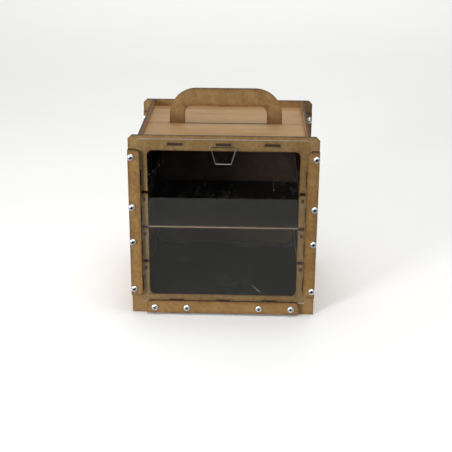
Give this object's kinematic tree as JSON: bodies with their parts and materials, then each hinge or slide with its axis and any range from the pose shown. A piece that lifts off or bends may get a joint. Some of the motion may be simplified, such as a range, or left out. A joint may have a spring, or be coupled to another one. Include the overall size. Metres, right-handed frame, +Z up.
{
  "type": "queen cage",
  "caption": "Carrying cage of laser-cut board with a shelf, a handle, a clear window and a wooden rear door that each slide up in a screwed channel.",
  "frame": {"origin": "on the ground under the middle of the box, which is the bottom centre of its bounding box", "axes": "+Z up; -Y out of the clear window's end, +Y out of the wooden door's end; +X to the right seen from the window"},
  "size_m": [0.2208, 0.1936, 0.2588],
  "materials": {
    "mdf": "matte",
    "plywood": "matte",
    "hardboard": "satin",
    "dark_board": "matte",
    "acrylic": "gloss",
    "zinc": "satin",
    "steel_wire": "satin"
  },
  "bodies": {
    "box": {"front_frame": "mdf", "front_left_strip": "mdf", "front_left_spacer": "mdf", "front_left_backing": "mdf", "front_left_screws": "zinc", "front_left_nuts": "zinc", "front_right_strip": "mdf", "front_right_spacer": "mdf", "front_right_backing": "mdf", "front_right_screws": "zinc", "front_right_nuts": "zinc", "front_bottom_strip": "mdf", "front_bottom_spacer": "mdf", "front_bottom_backing": "mdf", "front_bottom_screws": "zinc", "front_bottom_nuts": "zinc", "rear_frame": "mdf", "rear_left_strip": "mdf", "rear_left_spacer": "mdf", "rear_left_backing": "mdf", "rear_left_screws": "zinc", "rear_left_nuts": "zinc", "rear_right_strip": "mdf", "rear_right_spacer": "mdf", "rear_right_backing": "mdf", "rear_right_screws": "zinc", "rear_right_nuts": "zinc", "rear_bottom_strip": "mdf", "rear_bottom_spacer": "mdf", "rear_bottom_backing": "mdf", "rear_bottom_screws": "zinc", "rear_bottom_nuts": "zinc", "left_side_panel": "plywood", "right_side_panel": "plywood", "shelf_runner_left_low": "mdf", "shelf_runner_left_middle": "mdf", "shelf_runner_left_high": "mdf", "shelf_runner_right_low": "mdf", "shelf_runner_right_middle": "mdf", "shelf_runner_right_high": "mdf", "floor_panel": "dark_board", "top_panel_front": "plywood", "top_panel_rear": "plywood", "carry_handle": "mdf", "shelf": "dark_board"},
    "front_window": {"front_window": "acrylic"},
    "front_window_pull": {"front_window_pull": "steel_wire"},
    "rear_door": {"rear_door": "hardboard"},
    "rear_door_pull": {"rear_door_pull": "steel_wire"}
  },
  "joints": [
    {"name": "front_window_slide", "type": "slide", "parent": "box", "child": "front_window", "axis": [0, 0, 1], "range_m": [0, 0.18]},
    {"name": "front_pull_swing", "type": "hinge", "parent": "front_window", "child": "front_window_pull", "pos_m": [0, -0.08765, 0.2105], "axis": [-1, 0, 0], "range_deg": [0, 30]},
    {"name": "rear_door_slide", "type": "slide", "parent": "box", "child": "rear_door", "axis": [0, 0, 1], "range_m": [0, 0.18]},
    {"name": "rear_pull_swing", "type": "hinge", "parent": "rear_door", "child": "rear_door_pull", "pos_m": [0, 0.08765, 0.2105], "axis": [1, 0, 0], "range_deg": [0, 30]}
  ]
}
